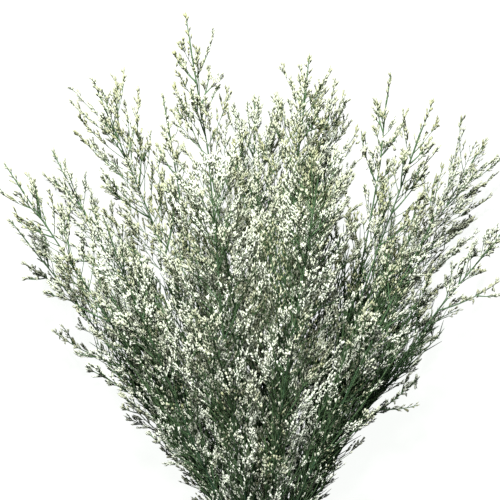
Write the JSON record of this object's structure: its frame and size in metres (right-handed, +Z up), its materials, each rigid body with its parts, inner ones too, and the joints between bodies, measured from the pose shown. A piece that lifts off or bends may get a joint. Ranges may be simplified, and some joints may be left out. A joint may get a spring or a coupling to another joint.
{
  "type": "bunch of dried statice",
  "caption": "Cut bunch of dried flowering branches with tiny white florets on wiry grey-green stems, tied with a rubber band and lying on its side.",
  "frame": {"origin": "on the surface that the bunch lies on, under the middle of the rubber band, in the middle of the band's flat underside", "axes": "+Y along the bunch from the band towards the flowering tips, +Z up from the surface, +X across the bunch"},
  "size_m": [0.4642, 0.6237, 0.1704],
  "materials": {
    "dried_stem": "matte dried grey-green stem, browner at the cut end",
    "floret": "papery white to cream floret with a green-brown base",
    "rubber_band": "dull tan natural rubber"
  },
  "bodies": {
    "root": {"spray_01": "dried_stem", "spray_02": "dried_stem", "spray_03": "dried_stem", "spray_04": "dried_stem", "spray_05": "dried_stem", "spray_06": "dried_stem", "spray_07": "dried_stem", "spray_08": "dried_stem", "spray_09": "dried_stem", "spray_10": "dried_stem", "spray_11": "dried_stem", "spray_12": "dried_stem", "spray_13": "dried_stem", "spray_14": "dried_stem", "spray_15": "dried_stem", "spray_16": "dried_stem", "spray_17": "dried_stem", "rubber_band": "rubber_band"}
  },
  "joints": []
}
